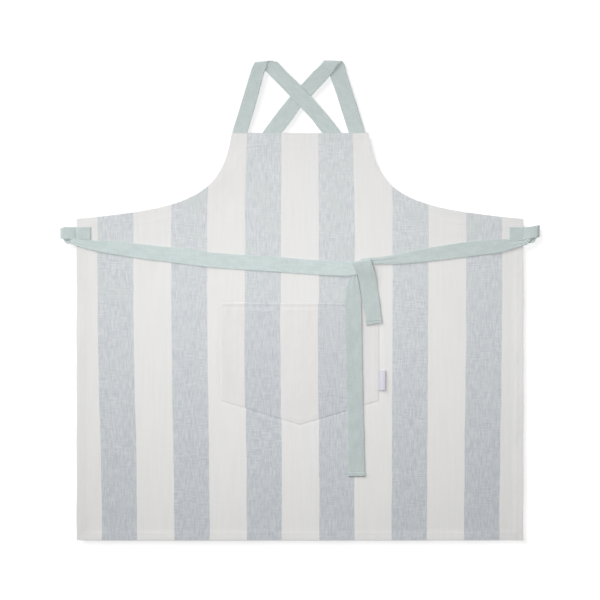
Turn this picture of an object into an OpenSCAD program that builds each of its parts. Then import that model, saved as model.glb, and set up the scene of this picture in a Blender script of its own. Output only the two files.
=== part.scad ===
// Striped cross-back kitchen apron lying flat, front side up.
// Units are millimetres. X runs across the apron, Y from the hem to the straps, Z up.
// The origin is under the middle of the whole outline, on the surface it lies on.

/* [Body panel] */
// Height of the laid-out apron, from the bottom hem to the tops of the shoulder straps
total_l = 935; // [900:1:970]
// Width of the panel below the armholes
body_w = 870; // [840:1:900]
// Width of the bib at its top edge
bib_w = 266; // [250:1:280]
// Height of the panel, from the bottom hem to the top of the bib
body_l = 792.5; // [780:0.5:800]
// Height of the straight sides, from the bottom hem to the armholes
side_l = 625.5; // [615:0.5:635]
// Thickness of one layer of the striped cloth
cloth_t = 0.7; // [0.5:0.05:0.8]

/* [Hems and facings] */
// Width of the turned side and bottom hems
hem_w = 12; // [8:1:16]
// Depth of the hem along the top of the bib
bib_hem = 30; // [26:1:34]
// Width of the facings behind the armholes
facing_w = 28; // [24:1:32]

/* [Pocket] */
// Width of the pocket
pocket_w = 308; // [290:1:312]
// Depth of the pocket at its sides
pocket_side = 190; // [180:1:200]
// Extra depth of the pocket at the point in the middle of its bottom
pocket_point = 47; // [35:1:55]
// Distance from the origin down to the mouth of the pocket
mouth_drop = 6; // [4:1:10]
// Room inside the mouth at its middle
pocket_room = 6.5; // [6:0.1:7]
// Depth of the hem along the mouth
mouth_hem = 18; // [14:1:22]
// Width of the edge turned under at the pocket's seam
pocket_turn = 9; // [6:1:11]

/* [Straps and ties] */
// Thickness of the folded strap
strap_t = 1.2; // [0.9:0.1:1.2]
// Width of the strap lying flat
strap_w = 30; // [28:1:31]
// Depth of the hem at the end of each tie
tail_hem = 9; // [7:1:12]

/* [Side loops] */
// Height of the cloth loops at the sides
loop_h = 25; // [22:1:26]
// How far each loop is sewn onto the panel
loop_tab = 28; // [24:1:30]
// How far each loop stands out past the panel's side
loop_out = 32; // [30:1:34]

/* [Hidden] */

cloth_colour = [0.87, 0.88, 0.89];
strap_colour = [0.74, 0.80, 0.79];
thread_colour = [0.93, 0.92, 0.90];
label_colour = [0.93, 0.93, 0.96];

gap = 0.3;                               // clearance between pieces that can move or lie loose
z_up = [0, 0, 1];
hem_y = -total_l / 2;
top_y = total_l / 2;
bib_y = hem_y + body_l;
side_y = hem_y + side_l;
half_w = body_w / 2;
half_bib = bib_w / 2;
panel_z = 2;                             // underside of the panel: the turned hems fill it
panel_top = panel_z + cloth_t;
facing_z = panel_z - cloth_t;
strap_z = strap_t / 2;                   // middle of a strap lying on the floor
over_z = strap_z + strap_t + gap;        // middle of a strap lying on another one
tie_z = panel_top + gap + strap_t / 2;   // middle of a tie lying on the panel
mouth_y = -mouth_drop;
half_pocket = pocket_w / 2;
pocket_z = panel_top + cloth_t + 0.05;   // underside of the pocket's cloth at its seams
long_clear = 0.8;                        // the tails pass over the pocket's thread
short_clear = 1.6;                       // and the short one's end hem does too
tail_top = 46;                           // where the tails leave the knot
knot_h = 4.2;
thread_w = 0.7;
thread_t = 0.25;
loop_y = 129.5;                          // middle of the side loops
right_loop_tilt = 5;

// ---- curves and ribbons -------------------------------------------------------------------

function bezier(p, t) =
    pow(1 - t, 3) * p[0] + 3 * pow(1 - t, 2) * t * p[1]
    + 3 * (1 - t) * t * t * p[2] + pow(t, 3) * p[3];

function slope(p, t) =
    pow(1 - t, 2) * (p[1] - p[0]) + 2 * (1 - t) * t * (p[2] - p[1]) + t * t * (p[3] - p[2]);

function unit(v) = v / norm(v);

function blend4(a, b, c, d, t) =
    0.5 * (2 * b + (c - a) * t + (2 * a - 5 * b + 4 * c - d) * t * t
    + (3 * b - a - 3 * c + d) * t * t * t);

// A smooth line through the control points c, with k steps between each pair
function smooth(c, k) =
    let (last = len(c) - 1)
    concat(
        [for (i = [0 : last - 1]) for (j = [0 : k - 1])
            blend4(c[max(i - 1, 0)], c[i], c[i + 1], c[min(i + 2, last)], j / k)],
        [c[last]]
    );

// Sections of a flat ribbon along points [x, y, z, width], z at the middle of its thickness
function sections(p) =
    [for (i = [0 : len(p) - 1])
        let (
            a = p[max(i - 1, 0)],
            b = p[min(i + 1, len(p) - 1)],
            d = unit([b[0] - a[0], b[1] - a[1]]),
            side = [-d[1], d[0], 0] * p[i][3] / 2,
            mid = [p[i][0], p[i][1], max(p[i][2], strap_z)]
        )
        [mid + side, mid - side, z_up]];

// Sections along edge points [left x, left y, right x, right y, z], thickness towards up
function edge_sections(p, up) =
    [for (q = p) let (z = max(q[4], strap_z)) [[q[0], q[1], z], [q[2], q[3], z], up]];

// Sections of a fold whose line runs from one edge to the other while the ribbon turns over.
// a and b are the edge points just before and just after the fold.
function fold_sections(a, b, steps) =
    let (
        mid_z = (a[4] + b[4]) / 2,
        r = (a[4] - b[4]) / 2,
        along = unit([a[2] - a[0], a[3] - a[1], 0]),
        out = [-along[1], along[0], 0]
    )
    [for (i = [1 : steps - 1])
        let (
            f = i / steps,
            n = cos(180 * f) * z_up + sign(r) * sin(180 * f) * out,
            q = a + (b - a) * f
        )
        [[q[0], q[1], mid_z] + r * n, [q[2], q[3], mid_z] + r * n, n]];

// A solid ribbon through sections [left edge, right edge, thickness direction]
module ribbon(s, t) {
    points = [for (q = s) each [
        q[0] - q[2] * t / 2, q[1] - q[2] * t / 2,
        q[1] + q[2] * t / 2, q[0] + q[2] * t / 2]];
    last = 4 * (len(s) - 1);
    faces = concat(
        [[2, 1, 0], [3, 2, 0], [last, last + 1, last + 2], [last, last + 2, last + 3]],
        [for (i = [0 : len(s) - 2]) for (k = [0 : 3])
            let (a = 4 * i + k, b = 4 * i + (k + 1) % 4)
            each [[a, b, b + 4], [a, b + 4, a + 4]]]
    );
    polyhedron(points, faces, convexity = 6);
}

// ---- body panel ---------------------------------------------------------------------------

armhole = [[half_bib, bib_y], [150, 200], [218, 178], [half_w, side_y]];
armhole_steps = 28;

// A point of the right armhole, moved d into the panel
function armhole_point(t, d) =
    let (s = unit(slope(armhole, t)))
    bezier(armhole, t) + [s[1], -s[0]] * d;

// The right armhole from the bib to the side, moved d into the panel
function armhole_line(d) = [for (i = [0 : armhole_steps]) armhole_point(i / armhole_steps, d)];

function reversed(v) = [for (i = [len(v) - 1 : -1 : 0]) v[i]];

function mirrored(v) = [for (q = v) [-q[0], q[1]]];

module panel_outline() {
    right = armhole_line(0);
    corner = 4;
    polygon(concat(
        right,
        [[half_w, hem_y + corner], [half_w - corner, hem_y]],
        [[corner - half_w, hem_y], [-half_w, hem_y + corner]],
        reversed(mirrored(right))
    ));
}

module band(x0, x1, y0, y1) {
    translate([x0, y0]) square([x1 - x0, y1 - y0]);
}

module body_panel() {
    color(cloth_colour)
        translate([0, 0, panel_z]) linear_extrude(cloth_t) panel_outline();
}

module bib_top_hem() {
    color(cloth_colour) translate([0, 0, facing_z]) linear_extrude(cloth_t)
        intersection() {
            panel_outline();
            band(-half_w, half_w, bib_y - bib_hem, bib_y);
        }
}

// Strip of the right armhole between two distances from its edge
module armhole_strip(d0, d1) {
    polygon(concat(armhole_line(d0), reversed(armhole_line(d1))));
}

module armhole_facing() {
    translate([0, 0, facing_z]) linear_extrude(cloth_t)
        difference() {
            intersection() {
                panel_outline();
                armhole_strip(0, facing_w);
            }
            band(0, half_w, bib_y - bib_hem, bib_y);
            band(half_w - loop_tab - 4, half_w, 0, loop_y + loop_h / 2 + 12);
        }
}

module right_armhole_facing() {
    color(cloth_colour) armhole_facing();
}

module left_armhole_facing() {
    color(cloth_colour) mirror([1, 0, 0]) armhole_facing();
}

module side_hem() {
    linear_extrude(panel_z)
        band(half_w - hem_w, half_w, hem_y + hem_w, loop_y - loop_h / 2 - 5);
}

module right_side_hem() {
    color(cloth_colour) side_hem();
}

module left_side_hem() {
    color(cloth_colour) mirror([1, 0, 0]) side_hem();
}

module bottom_hem() {
    color(cloth_colour) linear_extrude(panel_z)
        intersection() {
            panel_outline();
            band(-half_w, half_w, hem_y, hem_y + hem_w);
        }
}

// ---- pocket -------------------------------------------------------------------------------

function pocket_depth(x) = pocket_side + pocket_point * (1 - min(abs(x) / half_pocket, 1));

// Room between the body and the pocket at x and at the share v of the pocket's depth
function room(x, v) =
    let (u = min(abs(x) / half_pocket, 1))
    pocket_room * pow(1 - u * u, 2) * (1 - v * v);

module pocket_outline(inset) {
    w = half_pocket - inset;
    polygon([
        [-w, mouth_y], [w, mouth_y],
        [w, mouth_y - pocket_side + inset * 0.2],
        [0, mouth_y - pocket_side - pocket_point + inset],
        [-w, mouth_y - pocket_side + inset * 0.2]
    ]);
}

// A bulging sheet of the pocket's cloth from share v0 to v1 of its depth, lifted by rise
module pocket_sheet(v0, v1, rise, columns, rows) {
    top = [for (j = [0 : rows]) for (i = [-columns : columns])
        let (x = half_pocket * i / columns, v = v0 + (v1 - v0) * j / rows)
        [x, mouth_y - v * pocket_depth(x), pocket_z + rise + cloth_t + room(x, v)]];
    under = [for (q = top) q - cloth_t * z_up];
    n = 2 * columns + 1;
    m = n * (rows + 1);
    quads = [for (j = [0 : rows - 1]) for (i = [0 : n - 2]) j * n + i];
    rim = concat(
        [for (i = [0 : n - 2]) i],
        [for (j = [0 : rows - 1]) j * n + n - 1],
        [for (i = [n - 1 : -1 : 1]) rows * n + i],
        [for (j = [rows : -1 : 1]) j * n]
    );
    faces = concat(
        [for (q = quads) each [[q, q + 1, q + n + 1], [q, q + n + 1, q + n]]],
        [for (q = quads) each [
            [m + q, m + q + n + 1, m + q + 1], [m + q, m + q + n, m + q + n + 1]]],
        [for (i = [0 : len(rim) - 1])
            let (a = rim[i], b = rim[(i + 1) % len(rim)])
            each [[a, m + b, b], [a, m + a, m + b]]]
    );
    polyhedron(concat(top, under), faces, convexity = 6);
}

module pocket_panel() {
    color(cloth_colour) pocket_sheet(0, 1, 0, 10, 12);
}

module pocket_mouth_hem() {
    share = mouth_hem / (pocket_side + pocket_point);
    color(cloth_colour) pocket_sheet(0, share, -cloth_t - 0.05, 10, 2);
}

module pocket_turned_edge() {
    color(cloth_colour) translate([0, 0, panel_top]) linear_extrude(cloth_t)
        difference() {
            pocket_outline(0);
            pocket_outline(pocket_turn);
            band(-half_pocket, half_pocket, mouth_y - mouth_hem - 1, mouth_y + 1);
        }
}

label_w = 13;
label_l = 39;
label_t = 0.8;
label_y = -156.5;

module pocket_label() {
    color(label_colour)
        translate([half_pocket + 0.4, label_y - label_l / 2, panel_top + gap])
            cube([label_w, label_l, label_t]);
}

// ---- side loops ---------------------------------------------------------------------------

// Middle line of the loop's cloth, from its front tab round to its back tab
loop_line = concat(
    [[half_w - loop_tab, panel_top + cloth_t / 2]],
    [for (i = [0 : 12]) bezier([
        [half_w, panel_top + cloth_t / 2], [half_w + 6, 8.5],
        [half_w + loop_out - 2, 8.6], [half_w + loop_out - cloth_t / 2, 4]], i / 12)],
    [for (i = [1 : 10]) bezier([
        [half_w + loop_out - cloth_t / 2, 4], [half_w + loop_out - 1, 0],
        [half_w + 8, 0.4], [half_w, 0.95]], i / 10)],
    [[half_w - loop_tab, 0.95]]
);

function beside(p, d) =
    [for (i = [0 : len(p) - 1])
        let (s = unit(p[min(i + 1, len(p) - 1)] - p[max(i - 1, 0)]))
        p[i] + [s[1], -s[0]] * d];

module side_loop() {
    translate([0, loop_y + loop_h / 2, 0]) rotate([90, 0, 0])
        linear_extrude(loop_h)
            polygon(concat(beside(loop_line, cloth_t / 2), reversed(beside(loop_line, -cloth_t / 2))));
}

module right_side_loop() {
    color(strap_colour)
        translate([half_w, loop_y, 0]) rotate([0, 0, right_loop_tilt]) translate([-half_w, -loop_y, 0])
            side_loop();
}

module left_side_loop() {
    color(strap_colour) mirror([1, 0, 0]) side_loop();
}

// ---- shoulder straps ----------------------------------------------------------------------

strap_y = bib_y + 0.4;                   // where the moving straps begin
fold_y = top_y - strap_t / 2 - 0.9;

// The left strap: up the front leg, over the fold to the back, and down across to the right
left_leg = [
    [-132, strap_y, -103, strap_y, strap_z],
    [-121, 360, -93, 360, strap_z + 0.4],
    [-104, 414, -77, 414, over_z - 0.3],
    [-88, fold_y - 2.5, -60, fold_y - 0.5, over_z]];
left_cross = [
    [-86, fold_y - 2.5, -47, fold_y, strap_z],
    [-67, 447, -29, 447, strap_z + 0.2],
    [-46, 424, -8, 426, over_z],
    [-20, 395, 11, 407, over_z],
    [1, 371, 33, 383, over_z],
    [20, 350, 53, 358, strap_z + 0.6],
    [45, strap_y, 80, strap_y, strap_z]];

// The right strap: up the front leg, over the fold to the front, and down across to the left
right_leg = [
    [95, strap_y, 126, strap_y, strap_z],
    [84, 360, 116, 360, strap_z],
    [66, 412, 100, 412, strap_z],
    [46, fold_y, 84, fold_y - 1, strap_z]];
right_cross = [
    [46, fold_y, 84, fold_y - 1, over_z],
    [24, 442, 58, 434, over_z],
    [14, 430, 48, 423, strap_z + 0.7],
    [5, 421, 38, 412, strap_z],
    [-20, 395, 22, 395, strap_z],
    [-38, 371, 1, 371, strap_z],
    [-56, 348, -18, 348, strap_z],
    [-73, strap_y, -38, strap_y, strap_z]];

module folded_strap(leg, cross) {
    a = leg[len(leg) - 1];
    ribbon(concat(
        edge_sections(smooth(leg, 4), z_up),
        fold_sections(a, cross[0], 6),
        edge_sections(smooth(cross, 4), -z_up)
    ), strap_t);
}

module left_shoulder_strap() {
    color(strap_colour) folded_strap(left_leg, left_cross);
}

module right_shoulder_strap() {
    color(strap_colour) folded_strap(right_leg, right_cross);
}

// The ends of the straps, sewn behind the top corners of the bib
anchor_y = bib_y - 0.2;
anchor_l = 21;

module strap_anchor(x0, x1, lean) {
    linear_extrude(strap_t)
        polygon([[x0, anchor_y], [x1, anchor_y], [x1 + lean, anchor_y - anchor_l],
                 [x0 + lean, anchor_y - anchor_l]]);
}

module left_strap_anchor() {
    color(strap_colour) strap_anchor(-130, -103, -4);
}

module right_strap_anchor() {
    color(strap_colour) strap_anchor(96, 124, 6);
}

// The hidden run from the bib's top edge behind the panel to the side loop, as
// [x, y, z, width]: the last points gather the strap and lead it down into the loop
back_run = [
    [62, anchor_y, strap_z, 27],
    [97, 285, strap_z, strap_w],
    [134, 236, strap_z, strap_w],
    [178, 188, strap_z, strap_w],
    [236, 154, strap_z, strap_w],
    [310, 141, strap_z, 28],
    [370, 143, strap_z, 21],
    [410, 149.5, strap_z, 12],
    [430, 149.5, strap_z, 7],
    [438, 148.5, 1.2, 6],
    [443.5, 144.5, 2.6, 6],
    [446, 138, 3.3, 8],
    [446, 131, 3.3, 10]];

// A back run on one side: foot is its first section, cut level with the bib's top edge
module strap_back_run(side, foot) {
    points = [for (q = back_run) [side * q[0], q[1], q[2], q[3]]];
    s = sections(smooth(points, 3));
    ribbon(concat([foot], [for (i = [1 : len(s) - 1]) s[i]]), strap_t);
}

function foot_section(left_x, right_x) =
    [[left_x, anchor_y, strap_z], [right_x, anchor_y, strap_z], z_up];

module left_strap_back_run() {
    color(strap_colour) strap_back_run(1, foot_section(80, 45));
}

module right_strap_back_run() {
    color(strap_colour) strap_back_run(-1, foot_section(-38, -73));
}

// ---- waist ties ---------------------------------------------------------------------------

// Each tie as [x, y, z, width], from inside its loop to the knot
left_tie = [
    [-446, 128, 3.3, 10],
    [-446, 120, 3.4, 9],
    [-440, 112.5, 4.1, 9],
    [-425, 109.5, 4.6, 14],
    [-398, 105, 4.5, 20],
    [-328, 97, tie_z, 27],
    [-255, 88, tie_z, 29],
    [-182, 79, tie_z, 29],
    [-110, 73, tie_z, 29],
    [-40, 69, tie_z, 29],
    [30, 63.5, tie_z, 29],
    [99.6, 60, tie_z, 28]];
right_tie = [
    [446, 128, 3.3, 10],
    [446, 120, 3.4, 9],
    [440, 112.5, 4.1, 9],
    [425, 109.5, 4.6, 14],
    [395, 106, 4.5, 24],
    [322, 98, tie_z, 29],
    [250, 88, tie_z, 27],
    [180, 78.5, tie_z, 18],
    [142, 74, tie_z, 11]];

module left_waist_tie() {
    color(strap_colour) ribbon(sections(smooth(left_tie, 3)), strap_t);
}

module right_waist_tie() {
    color(strap_colour) ribbon(sections(smooth(right_tie, 3)), strap_t);
}

module waist_knot() {
    base = [[101.3, 47], [101.3, 72], [104, 74.5], [134, 80], [141, 78], [141, 67], [139, 47]];
    middle = [121, 62];
    lid = [for (q = base) middle + (q - middle) * 0.84];
    color(strap_colour) translate([0, 0, panel_top + gap])
        hull() {
            linear_extrude(1.6) polygon(base);
            linear_extrude(knot_h) polygon(lid);
        }
}

// ---- tails --------------------------------------------------------------------------------

function ease(f) = let (c = max(0, min(1, f))) c * c * (3 - 2 * c);

// Height above the panel of what a tail lies on at (x, y): the pocket, or nothing
function pocket_rise(x, y) =
    let (
        v = (mouth_y - y) / pocket_depth(x),
        inside = 2 * cloth_t + room(x, max(0, min(1, v)))
    )
    v < 0 ? inside * ease(1 - (y - mouth_y) / 22)
    : v > 1 ? inside * ease(1 - (v - 1) * pocket_depth(x) / 14)
    : inside;

function tail_z(x, y, clear) = panel_top + pocket_rise(x, y) + clear + strap_t / 2;

function tail_sections(p, clear) =
    [for (q = p)
        [[q[0], q[1], tail_z(q[0], q[1], clear)], [q[2], q[3], tail_z(q[2], q[3], clear)], z_up]];

// Tails as edge points [left x, left y, right x, right y], from the knot to the end.
// The right edge is named first, because a tail runs down the panel.
long_tail = [
    [111.5, tail_top, 99, tail_top],
    [113.5, 36, 93, 34],
    [116, 22, 89, 18],
    [119, 4, 88, 0],
    [120, -16, 88, -16],
    [120, -40, 88, -40],
    [121, -80, 89, -80],
    [122, -120, 90, -120],
    [123, -160, 92, -160],
    [124, -200, 92, -200],
    [125, -240, 93, -240],
    [126, -290, 94, -290],
    [127, -344, 95, -344]];
short_tail = [
    [139, tail_top, 112.4, tail_top],
    [144, 28, 115.5, 30],
    [149, 6, 120, 6],
    [154.5, -20, 125, -18],
    [160, -44, 129, -50]];

module long_tie_tail() {
    color(strap_colour) ribbon(tail_sections(smooth(long_tail, 3), long_clear), strap_t);
}

module short_tie_tail() {
    color(strap_colour) ribbon(tail_sections(smooth(short_tail, 3), short_clear), strap_t);
}

// The turned end of a tail, under its last stretch
module end_hem(p, clear) {
    last = p[len(p) - 1];
    before = p[len(p) - 2];
    back = unit([before[0] - last[0], before[1] - last[1]]) * tail_hem;
    low = [0, 0, -strap_t / 2 - cloth_t / 2 - 0.1];
    turned = [last[0] + back[0], last[1] + back[1], last[2] + back[0], last[3] + back[1]];
    start = tail_sections([turned], clear)[0];
    finish = tail_sections([last], clear)[0];
    ribbon([[start[0] + low, start[1] + low, z_up], [finish[0] + low, finish[1] + low, z_up]], cloth_t);
}

module long_tail_end_hem() {
    color(strap_colour) end_hem(long_tail, long_clear);
}

module short_tail_end_hem() {
    color(strap_colour) end_hem(short_tail, short_clear);
}

// A row of thread across a tail, at the inner edge of its turned end
module end_thread(p, clear) {
    last = p[len(p) - 1];
    before = p[len(p) - 2];
    back = unit([before[0] - last[0], before[1] - last[1]]);
    rows = [for (d = [tail_hem - 2, tail_hem - 2 + thread_w])
        [last[0] + back[0] * d - 1, last[1] + back[1] * d,
         last[2] + back[0] * d + 1, last[3] + back[1] * d]];
    lift = z_up * ((strap_t + thread_t) / 2 + 0.1);
    s = tail_sections(reversed(rows), clear);
    ribbon([for (q = s) [q[0] + lift, q[1] + lift, z_up]], thread_t);
}

module long_tail_stitching() {
    color(thread_colour) end_thread(long_tail, long_clear);
}

module short_tail_stitching() {
    color(thread_colour) end_thread(short_tail, short_clear);
}

// ---- stitching ----------------------------------------------------------------------------

module bib_stitching() {
    row = bib_y - bib_hem + 2;
    color(thread_colour) translate([0, 0, panel_top]) linear_extrude(thread_t)
        intersection() {
            panel_outline();
            band(-half_bib - 1, half_bib + 1, row, row + thread_w);
        }
}

module armhole_stitching() {
    color(thread_colour) translate([0, 0, panel_top]) linear_extrude(thread_t)
        for (side = [0, 1]) mirror([side, 0])
            difference() {
                intersection() {
                    panel_outline();
                    armhole_strip(facing_w - 2 - thread_w, facing_w - 2);
                }
                band(0, half_w, bib_y - bib_hem - 2, bib_y);
                band(half_w - loop_tab - 6, half_w, 0, side_y);
            }
}

module hem_stitching() {
    row = hem_w - 2;
    color(thread_colour) translate([0, 0, panel_top]) linear_extrude(thread_t) {
        for (side = [0, 1]) mirror([side, 0])
            band(half_w - row, half_w - row + thread_w, hem_y + row, 95);
        band(row - half_w, half_w - row + thread_w, hem_y + row - thread_w, hem_y + row);
    }
}

module pocket_stitching() {
    edge = 3;
    row_y = mouth_y - mouth_hem + 2;
    row = [for (i = [-12 : 12])
        let (x = (half_pocket - edge) * i / 12, v = (mouth_y - row_y) / pocket_depth(x))
        [x, row_y, pocket_z + cloth_t + room(x, v) + 0.05 + thread_t / 2, thread_w]];
    color(thread_colour) {
        translate([0, 0, pocket_z + cloth_t + 0.2]) linear_extrude(thread_t)
            difference() {
                pocket_outline(edge);
                pocket_outline(edge + thread_w);
                band(-half_pocket, half_pocket, mouth_y - mouth_hem, mouth_y + 1);
            }
        ribbon(sections(row), thread_t);
    }
}

module loop_box() {
    translate([half_w - loop_tab + 2, loop_y - loop_h / 2 + 2.5]) {
        difference() {
            square([loop_tab - 4, loop_h - 5]);
            translate([thread_w, thread_w])
                square([loop_tab - 4 - 2 * thread_w, loop_h - 5 - 2 * thread_w]);
        }
    }
}

module loop_stitching() {
    color(thread_colour) translate([0, 0, panel_top + cloth_t]) linear_extrude(thread_t) {
        mirror([1, 0]) loop_box();
        translate([half_w, loop_y]) rotate(right_loop_tilt) translate([-half_w, -loop_y]) loop_box();
    }
}

body_panel();
bib_top_hem();
left_armhole_facing();
right_armhole_facing();
left_side_hem();
right_side_hem();
bottom_hem();
pocket_panel();
pocket_turned_edge();
pocket_mouth_hem();
pocket_label();
left_side_loop();
right_side_loop();
left_shoulder_strap();
right_shoulder_strap();
left_strap_anchor();
right_strap_anchor();
left_strap_back_run();
right_strap_back_run();
left_waist_tie();
right_waist_tie();
waist_knot();
long_tie_tail();
short_tie_tail();
long_tail_end_hem();
short_tail_end_hem();
bib_stitching();
armhole_stitching();
hem_stitching();
pocket_stitching();
loop_stitching();
long_tail_stitching();
short_tail_stitching();
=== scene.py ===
"""A striped cross-back apron lying flat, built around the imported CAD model.

Lengths inside the builders are millimetres in the row frame; new_mesh turns them into metres.
"""

import math
import random

import bpy
import numpy as np
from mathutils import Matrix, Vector
from mathutils.bvhtree import BVHTree


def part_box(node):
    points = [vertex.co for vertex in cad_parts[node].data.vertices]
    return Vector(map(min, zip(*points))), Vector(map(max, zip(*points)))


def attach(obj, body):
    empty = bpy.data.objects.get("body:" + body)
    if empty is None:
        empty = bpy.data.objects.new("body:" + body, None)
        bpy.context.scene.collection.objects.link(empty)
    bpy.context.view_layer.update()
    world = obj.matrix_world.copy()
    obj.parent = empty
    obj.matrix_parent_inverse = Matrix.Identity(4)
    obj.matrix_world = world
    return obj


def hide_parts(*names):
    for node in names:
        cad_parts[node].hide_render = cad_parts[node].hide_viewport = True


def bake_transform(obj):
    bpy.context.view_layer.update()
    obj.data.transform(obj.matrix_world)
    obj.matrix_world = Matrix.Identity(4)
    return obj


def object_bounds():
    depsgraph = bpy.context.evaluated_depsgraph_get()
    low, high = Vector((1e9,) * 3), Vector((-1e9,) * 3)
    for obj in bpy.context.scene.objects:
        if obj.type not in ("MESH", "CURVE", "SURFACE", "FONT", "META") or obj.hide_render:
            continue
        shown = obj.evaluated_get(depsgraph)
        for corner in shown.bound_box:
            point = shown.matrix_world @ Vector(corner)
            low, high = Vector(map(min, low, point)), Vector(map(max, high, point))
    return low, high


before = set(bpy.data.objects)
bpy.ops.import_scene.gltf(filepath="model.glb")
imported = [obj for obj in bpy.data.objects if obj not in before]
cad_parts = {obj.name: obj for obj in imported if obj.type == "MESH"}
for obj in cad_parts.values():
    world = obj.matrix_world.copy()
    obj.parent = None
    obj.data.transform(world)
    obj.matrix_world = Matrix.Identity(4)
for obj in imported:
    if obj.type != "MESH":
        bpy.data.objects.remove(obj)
CAD_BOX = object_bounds()
MM = 0.001

# ---- driving sizes, from the CAD parts ----


def box_mm(node):
    low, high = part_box(node)
    return np.array(low) / MM, np.array(high) / MM


panel_low, panel_high = box_mm("body_panel")
HALF_W = panel_high[0]
HEM_Y = panel_low[1]
BIB_Y = panel_high[1]
HEM_W = box_mm("bottom_hem")[1][1] - HEM_Y
BIB_HEM = BIB_Y - box_mm("bib_top_hem")[0][1]
pocket_low, pocket_high = box_mm("pocket_panel")
POCKET_HALF = pocket_high[0]
MOUTH_Y = pocket_high[1]
POCKET_LOW = pocket_low[1]
label_low, label_high = box_mm("pocket_label")
loop_low, loop_high = box_mm("left_side_loop")
LOOP_Y = (loop_low[1] + loop_high[1]) / 2
LOOP_H = loop_high[1] - loop_low[1]
LOOP_X = -loop_low[0]

HALF_BIB = 133.0
SIDE_Y = 158.0
ARMHOLE = np.array([(HALF_BIB, BIB_Y), (150, 200), (218, 178), (HALF_W, SIDE_Y)])
FACING_W = 28.0
POCKET_POINT = 47.0
CLOTH = 0.5  # one layer of the striped linen
STRAP = 1.1  # the folded strap
STRAP_W = 30.0
LABEL_H = 39.0
FLOOR_GAP = 0.05

# ---- small maths ----


def ease(f):
    f = np.clip(f, 0, 1)
    return f * f * (3 - 2 * f)


def bezier(points, t):
    t = np.asarray(t, float)[:, None]
    a, b, c, d = points
    return (1 - t) ** 3 * a + 3 * (1 - t) ** 2 * t * b + 3 * (1 - t) * t * t * c + t**3 * d


def spline(points, step, columns=2):
    """A smooth line through points, with a point every step along its first columns."""
    p = np.array(points, float)
    gap = np.maximum(np.linalg.norm(np.diff(p[:, :columns], axis=0), axis=1), 1e-6)[:, None]
    slope = np.diff(p, axis=0) / gap
    inner = (slope[:-1] * gap[1:] + slope[1:] * gap[:-1]) / (gap[:-1] + gap[1:])
    tangent = np.vstack([slope[:1], inner, slope[-1:]])
    t = np.linspace(0, 1, 13)[:-1, None]
    out = [
        (2 * t**3 - 3 * t**2 + 1) * a + (t**3 - 2 * t**2 + t) * g * ta
        + (3 * t**2 - 2 * t**3) * b + (t**3 - t**2) * g * tb
        for a, b, g, ta, tb in zip(p, p[1:], gap, tangent, tangent[1:])
    ]
    return resample(np.vstack(out + [p[-1:]]), step, columns)


def lengths(line, columns=2):
    steps = np.linalg.norm(np.diff(line[:, :columns], axis=0), axis=1)
    return np.concatenate([[0], np.cumsum(steps)])


def resample(line, step, columns=2):
    run = lengths(line, columns)
    count = max(2, int(round(run[-1] / step)) + 1)
    at = np.linspace(0, run[-1], count)
    return np.column_stack([np.interp(at, run, line[:, k]) for k in range(line.shape[1])])


def ripples(x, y, wave, seed, stretch=1.0):
    """Soft irregular waves between about -1 and 1. stretch above 1 makes them longer in y."""
    draw = random.Random(seed)
    total = 0
    for _ in range(7):
        angle = draw.uniform(0, math.tau)
        k = math.tau / (wave * draw.uniform(0.7, 1.5))
        total = total + np.sin(
            k * (x * math.cos(angle) + y * math.sin(angle) / stretch) + draw.uniform(0, math.tau)
        )
    return total / 3.2


def spaced(length, step, edge):
    """Places from 0 to length, close together within edge of both ends."""
    rim = edge * np.array([0, 0.12, 0.4, 1.0])
    inner = np.linspace(edge, length - edge, max(2, int(round((length - 2 * edge) / step)) + 1))
    return np.concatenate([rim[:-1], inner, length - rim[:-1][::-1]])


# ---- meshes ----


def new_mesh(name, vertices, faces, cloth, material):
    """A smooth-shaded piece. cloth holds each vertex's place on the flat cloth, in millimetres."""
    mesh = bpy.data.meshes.new(name)
    mesh.from_pydata((np.asarray(vertices) * MM).tolist(), [], faces)
    mesh.polygons.foreach_set("use_smooth", np.ones(len(mesh.polygons), bool))
    place = mesh.attributes.new("cloth", "FLOAT_VECTOR", "POINT")
    place.data.foreach_set("vector", np.asarray(cloth, np.float32).ravel())
    mesh.materials.append(material)
    mesh.validate()
    piece = bpy.data.objects.new(name, mesh)
    bpy.context.scene.collection.objects.link(piece)
    return piece


def grid_normals(grid):
    along = np.gradient(grid, axis=0)
    across = np.gradient(grid, axis=1)
    n = np.cross(across, along)
    return n / np.maximum(np.linalg.norm(n, axis=2, keepdims=True), 1e-9)


def rim_depth(grid):
    """Distance of each grid point from the nearest of the grid's four rims, along the cloth."""
    rows = np.linalg.norm(np.diff(grid, axis=0), axis=2).cumsum(0)
    rows = np.vstack([np.zeros((1, grid.shape[1])), rows])
    cols = np.linalg.norm(np.diff(grid, axis=1), axis=2).cumsum(1)
    cols = np.hstack([np.zeros((grid.shape[0], 1)), cols])
    return np.minimum(np.minimum(rows, rows[-1:] - rows), np.minimum(cols, cols[:, -1:] - cols))


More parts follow.
